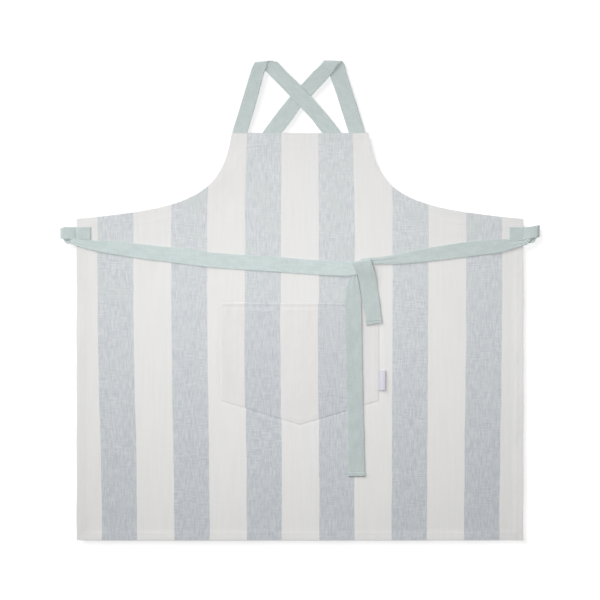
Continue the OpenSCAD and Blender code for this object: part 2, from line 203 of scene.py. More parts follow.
def sheet_mesh(name, grid, thickness, cloth, material):
    """A closed sheet of cloth round the middle surface grid, with rounded edges."""
    n, m, _ = grid.shape
    normal = grid_normals(grid)
    depth = np.clip(rim_depth(grid) / (thickness / 2), 0, 1)
    half = thickness / 2 * np.sqrt(1 - (1 - depth) ** 2)[..., None]
    top = (grid + normal * half).reshape(-1, 3)
    under = (grid - normal * half).reshape(-1, 3)
    index = np.arange(n * m).reshape(n, m)
    inner = np.zeros((n, m), bool)
    inner[1:-1, 1:-1] = True
    lower = index.copy()
    lower[inner] = n * m + np.arange(inner.sum())

    def quads(i):
        return np.stack([i[:-1, :-1], i[:-1, 1:], i[1:, 1:], i[1:, :-1]], -1).reshape(-1, 4)

    faces = np.vstack([quads(index), quads(lower)[:, ::-1]])
    vertices = np.vstack([top, under[inner.ravel()]])
    places = np.asarray(cloth, float).reshape(-1, 3)
    places = np.vstack([places, places[inner.ravel()]])
    return new_mesh(name, vertices, faces.tolist(), places, material)


# ---- how high everything lies ----

armhole_line = bezier(ARMHOLE, np.linspace(0, 1, 90))


def line_distance(x, y, line):
    """Distance of each point to the polyline."""
    p = np.stack([np.ravel(x), np.ravel(y)], -1)
    best = np.full(len(p), 1e9)
    for a, b in zip(line[:-1, :2], line[1:, :2]):
        d = b - a
        t = np.clip(((p - a) @ d) / (d @ d), 0, 1)
        best = np.minimum(best, np.linalg.norm(p - a - t[:, None] * d, axis=1))
    return best.reshape(np.shape(x))


def armhole_top(x):
    """Height on the apron of the panel's upper outline at x."""
    x = np.abs(x)
    return np.where(x <= HALF_BIB, BIB_Y, np.interp(x, armhole_line[:, 0], armhole_line[:, 1]))


# The hidden run of a strap behind the panel, right side: x, y, width
BACK_RUN = [
    (62, 325, 27), (97, 285, 30), (134, 236, 30), (178, 188, 30), (236, 154, 30),
    (310, 141, 28), (370, 143, 20), (405, 147, 11), (423, 144.6, 7),
]
run_line = spline(BACK_RUN, 6)


def strap_lift(x, y):
    """How far a back run lifts the cloth above it."""
    x = np.abs(x)
    d = line_distance(x, y, run_line)
    half = np.interp(x, run_line[:, 0], run_line[:, 2]) / 2
    bunch = 1 + 0.7 * ease((x - 385) / 35)
    return 0.3 * STRAP * bunch * ease((half + 9 - d) / 14)


REST_Z = 1.9  # middle of the panel's cloth where nothing lies under it
HEM_RISE = 0.42  # how much the double hem lifts it
FACING_RISE = 0.2
WAVE, SMALL_WAVE = 0.36, 0.10  # heights of the cloth's slow and short waves
SEAM_IN = 2.0  # a hem's stitches lie this far in from its inner edge
GROOVE, PUCKER = 0.09, 0.05  # along those stitches
CURL = 0.8  # how far the free edges lift
PRESS = 0.6  # how far the pocket's seams press the panel down


def pocket_depth(x):
    return MOUTH_Y - POCKET_LOW - POCKET_POINT * np.minimum(np.abs(x) / POCKET_HALF, 1)


def pressed(x, y):
    """How far the pocket's seams press the panel down."""
    below = MOUTH_Y - y
    inside = np.minimum(np.minimum(POCKET_HALF - np.abs(x), pocket_depth(x) - below), below)
    return PRESS * ease((inside + 4) / 7)


def panel_shape(x, y):
    """Middle height of the panel's cloth at (x, y)."""
    side = HALF_W - np.abs(x)
    low = y - HEM_Y
    arm = line_distance(np.abs(x), y, armhole_line)
    arm = np.where((y > 100) & (np.abs(x) > 100), arm, 400)
    bib = BIB_Y - y
    edge = np.minimum(np.minimum(side, low), np.minimum(arm, bib))
    hem = ease((HEM_W + 9 - np.minimum(side, low)) / 10)
    hem = hem * np.where(side < low, ease((LOOP_Y - 12 - y) / 12), 1)
    facing = np.maximum(ease((FACING_W + 6 - arm) / 12), ease((BIB_HEM + 6 - bib) / 12))
    layers = HEM_RISE * hem + FACING_RISE * facing * (1 - hem) + strap_lift(x, y)
    waves = WAVE * ripples(x, y, 190, 3, 1.8) + SMALL_WAVE * ripples(x, y, 60, 5, 1.5)
    calm = ease(edge / 26)
    seam = np.minimum.reduce([
        np.abs(side - HEM_W + SEAM_IN), np.abs(low - HEM_W + SEAM_IN),
        np.abs(arm - FACING_W + SEAM_IN), np.abs(bib - BIB_HEM + SEAM_IN),
    ])
    groove = GROOVE * np.exp(-((seam / 1.8) ** 2))
    pucker = PUCKER * np.exp(-((seam / 7) ** 2)) * ripples(x, y, 12, 8)
    curl = CURL * ease(1 - edge / 20) * (0.5 + 0.5 * ripples(x, y, 170, 21))
    return REST_Z + layers + waves * calm - groove + pucker + np.maximum(curl, 0) - pressed(x, y)


POCKET_ROOM = 2.0  # how far the pocket's mouth stands off the panel, lying flat
POCKET_TURNED = 0.36  # how much its turned edge lifts it
POCKET_GROOVE = 0.14  # along its inner row of stitches
LIP, LIP_GROOVE = 0.14, 0.4  # its folded mouth, and the dip below the fold
GATHER = 0.16
GAP = 0.05  # between two layers that touch


def pocket_rise(x, y):
    """Height of the middle of the pocket's cloth above the middle of the panel's."""
    u = np.clip(np.abs(x) / POCKET_HALF, 0, 1)
    v = np.clip((MOUTH_Y - y) / pocket_depth(x), 0, 1)
    inset = np.minimum((1 - u) * POCKET_HALF, (1 - v) * pocket_depth(x))
    turned = POCKET_TURNED * ease(inset / 3.6) * (1 - 0.7 * ease((inset - 8) / 8))
    turned = turned - POCKET_GROOVE * np.exp(-(((inset - 7) / 1.6) ** 2))
    room = POCKET_ROOM * (1 - u * u) ** 1.5 * (1 - v * v)
    to_mouth = MOUTH_Y - y
    lip = LIP * np.exp(-((to_mouth / 4) ** 2)) - LIP_GROOVE * np.exp(-(((to_mouth - 7.5) / 3.6) ** 2))
    lip = lip * ease(inset / 10)
    gathers = GATHER * ripples(x, y, 26, 12) * ease(inset / 12)
    return CLOTH + GAP + turned + room + lip + gathers * (1 - 0.5 * v)


def ground(x, y):
    """Height of the uppermost cloth of the panel or pocket at (x, y)."""
    panel = panel_shape(x, y) + CLOTH / 2
    v = (MOUTH_Y - y) / pocket_depth(x)
    beside = np.maximum(np.abs(x) - POCKET_HALF, 0)
    cover = ease(1 - beside / 5) * np.where(
        v < 0, ease(1 - (y - MOUTH_Y) / 14), ease(1 - (v - 1) * pocket_depth(x) / 6)
    )
    return panel + pocket_rise(np.clip(x, -POCKET_HALF, POCKET_HALF), y) * cover


def ground_at(x, y):
    return float(ground(np.array([x]), np.array([y]))[0])


# ---- materials ----


class Nodes:
    """Short names for building one material's nodes."""

    def __init__(self, name):
        self.material = bpy.data.materials.new(name)
        self.material.use_nodes = True
        self.tree = self.material.node_tree
        self.shader = self.tree.nodes["Principled BSDF"]

    def add(self, kind, **settings):
        node = self.tree.nodes.new("ShaderNode" + kind)
        for key, value in settings.items():
            setattr(node, key, value)
        return node

    def join(self, value, socket):
        if isinstance(value, bpy.types.NodeSocket):
            self.tree.links.new(value, socket)
        else:
            socket.default_value = value

    def maths(self, operation, a, b=0.0, c=0.0):
        node = self.add("Math", operation=operation)
        for value, socket in zip((a, b, c), node.inputs):
            self.join(value, socket)
        return node.outputs[0]

    def between(self, value, a, b, c=0.0, d=1.0):
        node = self.add("MapRange", interpolation_type="SMOOTHSTEP")
        for v, socket in zip((value, a, b, c, d), node.inputs):
            self.join(v, socket)
        return node.outputs[0]

    def mix(self, factor, a, b, blend="MIX"):
        node = self.add("Mix", data_type="RGBA", blend_type=blend)
        self.join(factor, node.inputs[0])
        self.join(a, node.inputs[6])
        self.join(b, node.inputs[7])
        return node.outputs[2]

    def noise(self, place, scale, detail=2.0, roughness=0.5):
        """Noise over the cloth; scale is in waves per millimetre across, along."""
        stretch = self.add("VectorMath", operation="MULTIPLY")
        self.join(place, stretch.inputs[0])
        stretch.inputs[1].default_value = (*scale, 1)
        node = self.add("TexNoise")
        node.inputs["Scale"].default_value = 1
        node.inputs["Detail"].default_value = detail
        node.inputs["Roughness"].default_value = roughness
        self.join(stretch.outputs[0], node.inputs["Vector"])
        return node.outputs[0]

    def cloth_place(self):
        place = self.add("Attribute", attribute_name="cloth").outputs["Vector"]
        split = self.add("SeparateXYZ")
        self.join(place, split.inputs[0])
        return place, split.outputs[0], split.outputs[1]

    def weave(self, place, x, y, pitch, depth):
        """Bump of a plain weave whose yarns wander a little, with slubs. Returns the crossings."""
        wander_x = self.maths("MULTIPLY_ADD", self.noise(place, (0.30, 0.02)), 1.5, x)
        wander_y = self.maths("MULTIPLY_ADD", self.noise(place, (0.02, 0.30)), 1.5, y)
        warp = self.maths("SINE", self.maths("MULTIPLY", wander_x, math.tau / pitch))
        weft = self.maths("SINE", self.maths("MULTIPLY", wander_y, math.tau / pitch))
        over = self.maths("MULTIPLY", warp, weft)
        slubs = self.maths("ADD", self.noise(place, (1.1, 0.07), 3), self.noise(place, (0.07, 1.1), 3))
        height = self.maths("MULTIPLY_ADD", slubs, 1.8, self.maths("MULTIPLY", over, 0.4))
        self.bump(height, depth)
        return self.maths("MULTIPLY_ADD", over, 0.5, 0.5)

    def bump(self, height, depth):
        node = self.add("Bump")
        node.inputs["Distance"].default_value = depth * MM
        self.join(height, node.inputs["Height"])
        self.join(node.outputs[0], self.shader.inputs["Normal"])

    def brighten(self, colour, value):
        node = self.add("HueSaturation")
        self.join(value, node.inputs["Value"])
        self.join(colour, node.inputs["Color"])
        return node.outputs[0]

    def finish(self, colour, roughness, sheen):
        self.join(colour, self.shader.inputs["Base Color"])
        self.join(roughness, self.shader.inputs["Roughness"])
        self.shader.inputs["Specular IOR Level"].default_value = 0.15
        self.shader.inputs["Sheen Weight"].default_value = sheen
        self.shader.inputs["Sheen Roughness"].default_value = 0.5
        return self.material


def grey(value):
    return (value, value, value, 1)


STRIPE_PITCH = 143.7  # at the waist
STRIPE_SHARE = 0.49  # of the pitch that is blue
WHITE = (0.768, 0.763, 0.750, 1)
WHITE_SHADE = (0.744, 0.740, 0.729, 1)
BLUE_LIGHT = (0.685, 0.707, 0.715, 1)
BLUE_DARK = (0.475, 0.503, 0.538, 1)
TEAL = (0.585, 0.625, 0.62, 1)
SELVEDGE = (0.76, 0.755, 0.735, 1)  # the pale yarn along each stripe's edge


def striped_linen(name, tint=(1, 1, 1, 1)):
    """White linen with broad blue-grey stripes that run up the apron."""
    n = Nodes(name)
    place, x, y = n.cloth_place()
    # The stripes come a little closer together towards the hem and at the bib's top
    low = n.between(y, 20, -470, 0, -2.6)
    high = n.between(y, 170, 325, 0, -4.4)
    pitch = n.maths("ADD", n.maths("ADD", low, high), STRIPE_PITCH)
    shift = n.between(y, 20, -470, -0.2, 1.2)
    wander = n.maths("MULTIPLY_ADD", n.noise(place, (0.011, 0.013), 1), 3.4, -1.7)
    fuzz = n.maths("MULTIPLY_ADD", n.noise(place, (0.9, 0.35), 2), 1.4, -0.7)
    at = n.maths("ADD", n.maths("SUBTRACT", x, shift), n.maths("ADD", wander, fuzz))
    phase = n.maths("FRACT", n.maths("ADD", n.maths("DIVIDE", at, pitch), 50.0))
    away = n.maths("MULTIPLY", n.maths("ABSOLUTE", n.maths("SUBTRACT", phase, 0.5)), STRIPE_PITCH)
    half = STRIPE_PITCH * STRIPE_SHARE / 2
    blue = n.between(away, half + 0.5, half - 0.5)
    # Yarns: streaks along the warp, finer ones across, and a slow unevenness of the dye
    streak = n.noise(place, (0.62, 0.052), 3, 0.62)
    slub = n.noise(place, (0.3, 0.04), 2, 0.5)
    weft = n.noise(place, (0.04, 0.6), 2.5, 0.6)
    mottle = n.noise(place, (0.13, 0.1), 3, 0.6)
    bands = n.between(n.noise(place, (0.006, 0.022), 2), 0.42, 0.62)
    yarn = n.maths("MULTIPLY_ADD", streak, 0.46, n.maths("MULTIPLY", slub, 0.26))
    yarn = n.maths("MULTIPLY_ADD", mottle, 0.12, yarn)
    strength = n.maths("MULTIPLY_ADD", bands, 0.36, 0.17)
    cross = n.maths("MULTIPLY", n.maths("SUBTRACT", weft, 0.5), strength)
    yarn = n.maths("ADD", n.maths("ADD", yarn, cross), 0.08)
    depth = n.between(yarn, 0.39, 0.61)
    # Painted shade: the linen darkens towards the hem, where less light falls
    painted_shade_low = n.between(y, 330, -470, -0.14, 0.27)
    shade = n.maths("MULTIPLY_ADD", depth, 0.64, n.maths("ADD", painted_shade_low, 0.13))
    blue_tone = n.mix(shade, BLUE_LIGHT, BLUE_DARK)
    hue = n.between(n.noise(place, (0.021, 0.017), 2), 0.45, 0.66)
    hue = n.maths("MULTIPLY", hue, n.between(y, -330, 60, 0.1, 0.42))
    blue_tone = n.mix(hue, blue_tone, TEAL)
    pale = n.noise(place, (0.17, 0.01), 3, 0.6)
    pale = n.maths("MULTIPLY_ADD", pale, 0.75, n.maths("MULTIPLY", weft, 0.25))
    white_tone = n.mix(n.between(pale, 0.38, 0.66), WHITE, WHITE_SHADE)
    tone = n.mix(blue, white_tone, blue_tone)
    rim = n.maths("ABSOLUTE", n.maths("SUBTRACT", away, half + 0.4))
    tone = n.mix(n.between(rim, 1.3, 0.2, 0.0, 0.6), tone, SELVEDGE)
    tinted = n.mix(1.0, tone, tint, "MULTIPLY")
    crossings = n.weave(place, x, y, pitch=0.95, depth=0.075)
    # Dyed yarns show their crossings more than white ones
    contrast = n.maths("MULTIPLY_ADD", blue, 0.16, 0.07)
    bright = n.maths("MULTIPLY_ADD", contrast, 0.5, 1.0)
    value = n.maths("SUBTRACT", bright, n.maths("MULTIPLY", crossings, contrast))
    woven = n.brighten(tinted, value)
    return n.finish(woven, n.between(yarn, 0.3, 0.7, 0.82, 0.95), sheen=0.12)


SAGE_LIGHT = (0.545, 0.612, 0.602, 1)
SAGE_DARK = (0.425, 0.492, 0.49, 1)


def strap_linen(name, gain=1.0):
    """The plain sage-grey linen band: x runs across it and y along it."""
    n = Nodes(name)
    place, x, y = n.cloth_place()
    streak = n.noise(place, (0.75, 0.045), 3, 0.6)
    weft = n.noise(place, (0.06, 0.8), 2, 0.5)
    mottle = n.noise(place, (0.1, 0.05), 2, 0.5)
    yarn = n.maths("ADD", n.maths("MULTIPLY", streak, 0.45), n.maths("MULTIPLY", weft, 0.3))
    yarn = n.maths("ADD", yarn, n.maths("MULTIPLY", mottle, 0.25))
    edge = n.between(n.maths("ABSOLUTE", x), STRAP_W / 2 - 2.2, STRAP_W / 2 - 0.4)
    # gain scales the band's colour; its paler and darker copies use it to paint light and shade
    light, dark = ([gain * c for c in tone[:3]] + [1] for tone in (SAGE_LIGHT, SAGE_DARK))
    tone = n.mix(n.between(yarn, 0.34, 0.66, 0.05, 0.75), light, dark)
    tone = n.mix(n.maths("MULTIPLY", edge, 0.35), tone, dark)
    crossings = n.weave(place, x, y, pitch=0.9, depth=0.09)
    woven = n.brighten(tone, n.maths("MULTIPLY_ADD", crossings, -0.16, 1.08))
    return n.finish(woven, n.between(yarn, 0.3, 0.7, 0.8, 0.93), sheen=0.12)


def woven_label(name):
    """Blank white satin ribbon with fine cross ribs."""
    n = Nodes(name)
    place, x, y = n.cloth_place()
    ribs = n.maths("SINE", n.maths("MULTIPLY", y, math.tau / 0.55))
    shade = n.between(n.noise(place, (0.3, 1.5), 2), 0.35, 0.65)
    tone = n.mix(shade, (0.655, 0.645, 0.70, 1), (0.59, 0.58, 0.64, 1))
    n.bump(ribs, 0.018)
    return n.finish(tone, n.between(ribs, -1, 1, 0.4, 0.55), sheen=0.2)


def thread(name, light, dark):
    """Spun sewing thread, twisted along y."""
    n = Nodes(name)
    place, x, y = n.cloth_place()
    turn = n.maths("MULTIPLY_ADD", x, 12.0, n.maths("MULTIPLY", y, 9.0))
    twist = n.maths("SINE", turn)
    tone = n.mix(n.between(twist, -1, 1), light, dark)
    return n.finish(tone, n.between(twist, -1, 1, 0.6, 0.75), sheen=0.1)


LINEN = striped_linen("striped_linen")
POCKET_LINEN = striped_linen("pocket_linen", (0.968, 0.958, 0.966, 1))
SAGE = strap_linen("sage_strap", 1.06)
SAGE_PAINTED_LIGHT = strap_linen("sage_strap_painted_light", 1.13)  # a paler copy of the band for the left tie: painted light, as that tie tilts towards the lamp
SAGE_PAINTED_SHADE = strap_linen("sage_strap_painted_shade", 0.98)  # and a darker copy for the knot and tails: painted shade
LABEL = woven_label("white_label")
PALE_THREAD = thread("pale_thread", (0.72, 0.715, 0.70, 1), (0.60, 0.60, 0.595, 1))
SAGE_THREAD = thread("sage_thread", (0.52, 0.59, 0.58, 1), (0.40, 0.47, 0.465, 1))


def settle(piece, body, slot_name, *nodes):
    """The piece rides on a body and stands for CAD nodes, which it hides; slot_name is not used."""
    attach(piece, body)
    if nodes:
        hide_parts(*nodes)
    return piece


# ---- body panel and its hems ----


def both_ways(distances, limit, step):
    """Places across the apron: the given distances from both sides, and step between."""
    inner = limit - distances[-1]
    middle = np.linspace(-inner, inner, 2 * int(round(inner / step)) + 1)
    return np.concatenate([-limit + distances[:-1], middle, (limit - distances[:-1])[::-1]])


def flat_places(x, y):
    return np.stack([x, y, np.zeros_like(x)], -1)


def build_panel():
    rim = np.array([0, 0.05, 0.15, 0.3, 1, 2, 4, 6, 8, 9, 10, 11, 12, 13, 14.5, 16, 18])
    columns = both_ways(rim, HALF_W, 5.0)
    steep = np.array([0, 0.5, 1, 1.6, 2.4, 3.4, 4.6, 6, 8, 10, 12.5, 15, 18, 21])
    near_bib = HALF_BIB + steep
    columns = np.unique(np.round(np.concatenate([columns, near_bib, -near_bib]), 3))
    keep = np.concatenate([[True], np.diff(columns) > 0.04])
    columns = columns[keep]
    split = 140.0  # level rows below this height, rows that follow the armholes above it
    lower = np.concatenate([HEM_Y + rim[:-1], np.linspace(HEM_Y + rim[-1], split, 132)])
    above = BIB_Y - split
    share = 1 - np.concatenate([rim[:-1], np.linspace(rim[-1], above, 42)])[::-1] / above
    share[0] = 0
    x = np.broadcast_to(columns, (len(lower) + len(share) - 1, len(columns)))
    upper = split + share[1:, None] * (armhole_top(columns) - split)
    y = np.vstack([np.broadcast_to(lower[:, None], (len(lower), len(columns))), upper])
    x = x + 0.5 * ripples(y, y, 150, 31) * ease((np.abs(x) - 300) / 135) * ease((SIDE_Y - y) / 60)
    grid = np.stack([x, y, panel_shape(x, y)], -1)
    piece = sheet_mesh("apron_body", grid, CLOTH, flat_places(x, y), LINEN)
    return settle(piece, "apron", "striped_linen", "body_panel")


def strip(name, outer, inner, layers):
    """A turned layer under the panel, between two lines of points with equal counts."""
    across = spaced(1.0, 0.2, 0.06)[:, None, None]
    flat = outer * (1 - across) + inner * across
    flat = np.transpose(flat, (1, 0, 2))
    x, y = flat[..., 0], flat[..., 1]
    z = panel_shape(x, y) - CLOTH / 2 - layers * CLOTH / 2 - 0.04
    grid = np.dstack([x, y, np.maximum(z, FLOOR_GAP + layers * CLOTH / 2)])
    return sheet_mesh(name, grid[:, ::-1], layers * CLOTH, flat_places(x, y)[:, ::-1], LINEN)


def straight(a, b, step=4.0, like=None):
    """A straight row of points, spaced as another row is when like names that row's ends."""
    a, b = np.array(a, float), np.array(b, float)
    size = np.linalg.norm(b - a) if like is None else math.dist(*like)
    t = spaced(1.0, step / size, 0.6 / size)[:, None]
    return a + (b - a) * t


def mirror(points):
    return points * np.array([-1, 1])


def inward(points, d):
    """The right armhole's line moved d into the panel."""
    slope = np.gradient(points, axis=0)
    slope = slope / np.linalg.norm(slope, axis=1, keepdims=True)
    return points + np.stack([slope[:, 1], -slope[:, 0]], -1) * d


def build_hems():
    """The turned layers under the panel: side hems, bottom hem, bib hem and armhole facings."""
    inset = 0.3  # from the panel's own edge
    hem_top = LOOP_Y - 16  # the side hems end under the loops
    w, low = HALF_W - inset, HEM_Y + inset
    inner, above = w - HEM_W, low + HEM_W
    right = straight((w, above), (w, hem_top)), straight((inner, above), (inner, hem_top))
    left = mirror(right[0])[::-1], mirror(right[1])[::-1]
    bottom = straight((-w, low), (w, low)), straight((-w, above), (w, above))
    top = BIB_Y - inset
    ends = (HALF_BIB - inset, top), (inset - HALF_BIB, top)
    under = top - BIB_HEM
    wide = HALF_BIB + 3  # the bib widens downwards
    bib = straight(*ends), straight((wide, under), (-wide, under), like=ends)
    edge = bezier(ARMHOLE, np.linspace(0.07, 0.985, 80))
    arm = inward(edge, inset)[::-1], inward(edge, FACING_W)[::-1]
    other = mirror(arm[0])[::-1], mirror(arm[1])[::-1]
    turned = [
        ("right_side_hem_turned", right, 2, "right_side_hem"),
        ("left_side_hem_turned", left, 2, "left_side_hem"),
        ("bottom_hem_turned", bottom, 2, "bottom_hem"),
        ("bib_hem_turned", bib, 1, "bib_top_hem"),
        ("right_facing", arm, 1, "right_armhole_facing"),
        ("left_facing", other, 1, "left_armhole_facing"),
    ]
    return [
        settle(strip(name, *lines, layers), "apron", "striped_linen", node)
        for name, lines, layers, node in turned
    ]


# ---- pocket ----


MOUTH_HEM = 18.0
POCKET_TURN = 9.0  # turned under round the sides and bottom
STRIPE_MISS = 1.6


def build_pocket():
    across = spaced(2 * POCKET_HALF, 2.4, 0.3) - POCKET_HALF
    down = spaced(1.0, 0.0085, 0.0013)[::-1][:-4]  # shares of the depth, up to the mouth's fold
    # The cloth runs up from the point to the mouth, turns over and ends inside
    x = np.broadcast_to(across, (len(down), len(across)))
    y = MOUTH_Y - down[:, None] * pocket_depth(x)
    wander = 0.5 * ripples(x, y, 90, 41)
    z = panel_shape(x, y) + pocket_rise(x, y)
    outer = np.stack([x + wander, y, z], -1)
    fold = CLOTH / 2 + 0.12
    turn = np.linspace(0, math.pi, 9)[1:-1]
    rim_z = outer[-1:, :, 2]
    bend = np.stack([
        np.repeat(outer[-1:, :, 0], len(turn), 0),
        MOUTH_Y + fold * np.sin(turn)[:, None] + np.zeros_like(rim_z),
        rim_z - fold + fold * np.cos(turn)[:, None],
    ], -1)
    hem = MOUTH_HEM
    back = np.array([0.3, 2, 5, 9, 13, hem - 1, hem - 0.3, hem])[:, None]
    bx = np.broadcast_to(across, (len(back), len(across)))
    by = MOUTH_Y - back + np.zeros_like(bx)
    bz = panel_shape(bx, by) + pocket_rise(bx, by) - 2 * fold
    inner = np.stack([bx, by, bz], -1)
    grid = np.concatenate([outer, bend, inner])
    # Where the cloth was cut: its stripes miss the panel's by a little
    from_mouth = [down[:, None] * pocket_depth(x), -np.ones_like(bend[..., 0]), -back + 0 * bx]
    cut = flat_places(grid[..., 0] + STRIPE_MISS, MOUTH_Y - np.concatenate(from_mouth))
    piece = sheet_mesh("front_pocket", grid, CLOTH, cut, POCKET_LINEN)
    return settle(piece, "apron", "striped_linen", "pocket_panel", "pocket_mouth_hem")


def pocket_path(inset):
    """The pocket's seam line from its left mouth corner round the point to the right one."""
    w = POCKET_HALF - inset
    low = MOUTH_Y - pocket_depth(POCKET_HALF)
    corner = low + inset * 0.85
    top = MOUTH_Y - MOUTH_HEM - 1
    point = (0, POCKET_LOW + inset * 1.05)
    left = straight((-w, top), (-w, corner), 5, like=((0, top), (0, low)))
    slope = straight((-w, corner), point, 5, like=((POCKET_HALF, low), (0, POCKET_LOW)))
    half = np.vstack([left, slope[1:]])
    return np.vstack([half, mirror(half)[::-1][1:]])


def build_pocket_edge():
    path, inner = pocket_path(0.5), pocket_path(POCKET_TURN)
    across = spaced(1.0, 0.25, 0.05)[:, None, None]
    flat = np.transpose(path * (1 - across) + inner * across, (1, 0, 2))
    x, y = flat[..., 0], flat[..., 1]
    grid = np.dstack([x, y, panel_shape(x, y) + CLOTH + GAP])
    pressed_thin = 0.9 * CLOTH
    piece = sheet_mesh("pocket_edge_turned", grid, pressed_thin, flat_places(x, y), POCKET_LINEN)
    return settle(piece, "apron", "striped_linen", "pocket_turned_edge")


# ---- straps, ties and tails ----


def band_grid(sections, pleat, step, seed, uneven=0.12, hem=0):
    """A strap's middle surface through sections (ax, ay, az, bx, by, bz), its places and length.

    a is the strap's left edge as it runs, b its right. pleat gives each section's gather height,
    and hem the length of the hem at its end.
    """
    s = spline(np.column_stack([np.array(sections, float), pleat]), step, 6)
    run = lengths((s[:, :3] + s[:, 3:6]) / 2, 3)
    u = spaced(STRAP_W, 2.1, STRAP / 2) / STRAP_W
    a, b = s[:, None, :3], s[:, None, 3:6]
    grid = a + (b - a) * u[None, :, None]
    x = np.broadcast_to((u - 0.5) * STRAP_W, (len(s), len(u)))
    y = np.broadcast_to(run[:, None], (len(s), len(u)))
    normal = grid_normals(grid)
    lift = uneven * ripples(x * 1.5, y, 42, seed)
    if hem:
        left = run[-1] - y
        lift = lift + 0.3 * ease((hem + 0.6 - left) / 1.2)  # the turned end's second layer
        lift = lift - 0.35 * np.exp(-(((left - hem) / 1.1) ** 2))  # and the groove of its stitches
    turns = math.tau * u[None, :]
    folds = np.sin(2.2 * turns + 0.6 + 0.012 * y) + 0.35 * np.sin(4.3 * turns + 2)
    lift = lift + s[:, None, 6] * folds * np.sin(turns / 2) ** 0.5
    return grid + normal * lift[..., None], flat_places(x, y), run[-1]


def strap_piece(name, grid, places, material=SAGE):
    return sheet_mesh(name, grid[:, ::-1], STRAP, places[:, ::-1], material)


def hinged_strap(piece, nodes):
    """Hides the CAD nodes a strap stands for and bakes its placement into its mesh."""
    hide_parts(*nodes)
    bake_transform(piece)
    return piece


def flat_sections(points):
    """Edge sections of a band that lies flat along points (x, y, z, width)."""
    p = np.array(points, float)
    d = np.gradient(p[:, :2], axis=0)
    d = d / np.linalg.norm(d, axis=1, keepdims=True)
    side = np.stack([-d[:, 1], d[:, 0]], -1) * p[:, 3:4] / 2
    return np.column_stack([p[:, :2] + side, p[:, 2], p[:, :2] - side, p[:, 2]])


LOW_Z = FLOOR_GAP + STRAP / 2 + 0.1
OVER_Z = LOW_Z + STRAP + 0.3
TOP_Y = CAD_BOX[1][1] / MM
FOLD_Y = TOP_Y - STRAP / 2 - 1.1


def edges(rows):
    """Sections from rows (left x, left y, right x, right y, z)."""
    return [(ax, ay, z, bx, by, z) for ax, ay, bx, by, z in rows]


def fold_over(before, after, steps=9):
    """Sections that turn the band over between two edge rows at different heights."""
    a, b = np.array(before, float), np.array(after, float)
    radius = (a[4] - b[4]) / 2
    middle = (a[4] + b[4]) / 2
    along = np.array([a[2] - a[0], a[3] - a[1]])
    along = along / np.linalg.norm(along)
    out = np.array([-along[1], along[0]]) * abs(radius)
    rows = []
    for f in np.linspace(0, 1, steps + 1)[1:-1]:
        q = a + (b - a) * f
        push = out * math.sin(math.pi * f)
        z = middle + radius * math.cos(math.pi * f)
        rows.append((q[0] + push[0], q[1] + push[1], z, q[2] + push[0], q[3] + push[1], z))
    return rows


def run_sections(side):
    """The hidden run behind the panel and down through the side loop."""
    points = [(side * x, y, LOW_Z, w) for x, y, w in BACK_RUN[1:]]
    points += [
        (side * 432, 141.6, 1.1, 4.5), (side * 438.5, 138.8, 1.9, 4.5),
        (side * 443, 134.8, 2.2, 6), (side * 445.5, 129.8, 2.3, 9),
    ]
    return flat_sections(points).tolist()


LEFT_LEG = [
    (-136, 305, -109, 305, LOW_Z), (-132, 326, -103, 326, LOW_Z),
    (-121, 362, -92, 362, LOW_Z + 0.4), (-106.5, 410, -78, 412, OVER_Z - 0.3),
    (-98, 438, -70, 442, OVER_Z), (-93.5, 452, -65.5, 453, OVER_Z),
    (-88.5, FOLD_Y - 4.2, -61, FOLD_Y - 0.3, OVER_Z),
]
LEFT_CROSS = [
    (-85, FOLD_Y - 2.4, -46.5, FOLD_Y - 1.3, LOW_Z), (-76, 455, -36.5, 455.5, LOW_Z + 0.1),
    (-67, 446, -28.5, 447, LOW_Z + 0.25), (-45, 424, -7, 426, OVER_Z),
    (-22, 400, 15, 403, OVER_Z + 0.1), (2, 375, 38, 378, OVER_Z), (24, 351, 60, 352, LOW_Z + 0.6),
    (45, 325, 80, 325, LOW_Z),
]
RIGHT_LEG = [
    (101, 305, 131, 305, LOW_Z), (95, 326, 126.5, 326, LOW_Z), (83.5, 362, 116, 362, LOW_Z),
    (66, 416, 99, 416, LOW_Z), (57, 440, 91, 441, LOW_Z), (47, FOLD_Y, 83, FOLD_Y - 1.2, LOW_Z),
]
RIGHT_CROSS = [
    (46, FOLD_Y, 80.5, FOLD_Y - 1, OVER_Z), (23, 441.5, 61, 440, OVER_Z),
    (4, 421, 42, 419, LOW_Z + 0.5), (-16, 400, 22, 398, LOW_Z), (-36, 376, 1, 375, LOW_Z),
    (-55, 351, -17, 350, LOW_Z), (-73, 325, -38, 325, LOW_Z),
]


def build_shoulder_strap(side_name, leg, cross, side, seed):
    """A strap from its anchor behind the bib, over its fold and down to the far side loop."""
    rows = edges(leg) + fold_over(leg[-1], cross[0]) + edges(cross) + run_sections(side)
    pleat = [0.0] * len(rows)
    pleat[-7:] = [0.05, 0.1, 0.25, 0.35, 0.4, 0.5, 0.6]  # bunched towards the side loop
    grid, places, length = band_grid(rows, pleat, 1.6, seed)
    piece = strap_piece(f"{side_name}_strap", grid, places)
    nodes = [f"{side_name}_{part}" for part in ("shoulder_strap", "strap_anchor", "strap_back_run")]
    hinged_strap(
        piece, nodes
    )


def on_ground(rows, clearance):
    """Sections (ax, ay, bx, by, extra) laid on the apron, extra above it."""
    out = []
    for ax, ay, bx, by, extra in rows:
        za, zb = ground_at(ax, ay), ground_at(bx, by)
        zm = ground_at((ax + bx) / 2, (ay + by) / 2)
        lift = max(0.0, zm - (za + zb) / 2) + clearance + STRAP / 2 + extra
        out.append((ax, ay, za + lift, bx, by, zb + lift))
    return out


